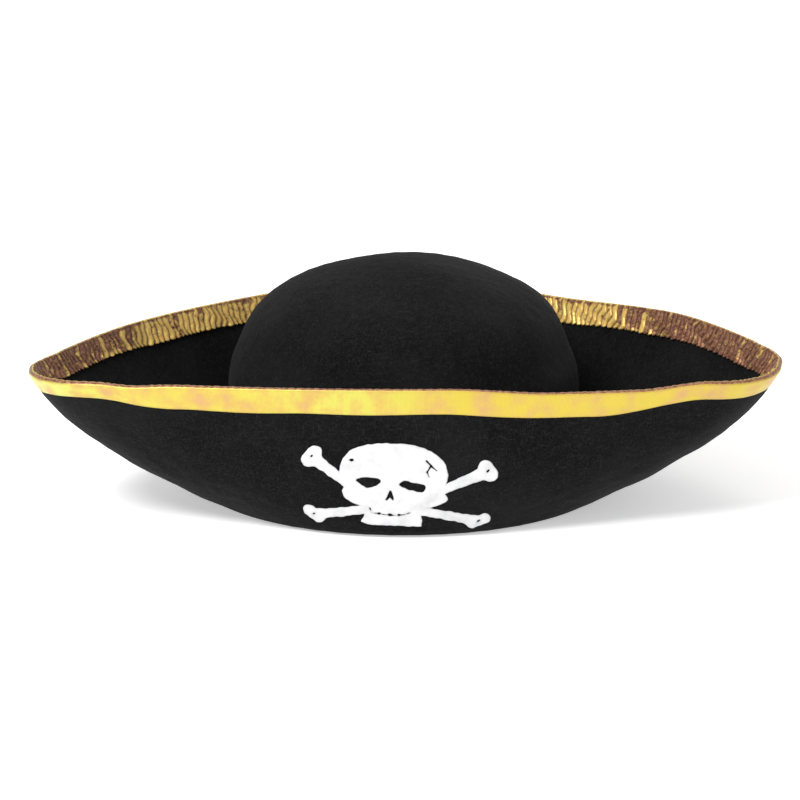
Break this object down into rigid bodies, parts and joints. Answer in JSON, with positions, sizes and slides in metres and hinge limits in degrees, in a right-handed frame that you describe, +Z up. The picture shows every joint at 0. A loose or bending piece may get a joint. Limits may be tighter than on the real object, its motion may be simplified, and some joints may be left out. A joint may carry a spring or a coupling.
{
  "type": "tricorn hat",
  "caption": "Black felt tricorn costume hat: round crown, upturned brim with a gold ribbon folded over its rim, and a skull and crossbones transfer on the front flap.",
  "frame": {"origin": "centre of the oval head opening, in the plane that the underside of the brim rests on", "axes": "+Z up out of the crown, the front flap faces -Y, +X to the viewer's right when looking at the front flap"},
  "size_m": [0.3792, 0.282, 0.117],
  "materials": {
    "black_felt": "matt pressed felt",
    "gold_ribbon": "metallic woven ribbon",
    "gold_thread": "spun polyester thread",
    "white_transfer": "flocked heat transfer film",
    "black_satin": "satin ribbon",
    "black_thread": "spun polyester thread",
    "white_satin": "woven label satin"
  },
  "bodies": {
    "root": {"crown": "black_felt", "brim": "black_felt", "brim_binding": "gold_ribbon", "binding_stitching": "gold_thread", "skull_and_bones_transfer": "white_transfer", "sweatband": "black_satin", "sweatband_stitching": "black_thread", "headline_stitching": "black_thread", "front_tack": "black_thread", "left_tack": "black_thread", "right_tack": "black_thread", "care_label": "white_satin", "label_stitching": "black_thread"}
  },
  "joints": []
}
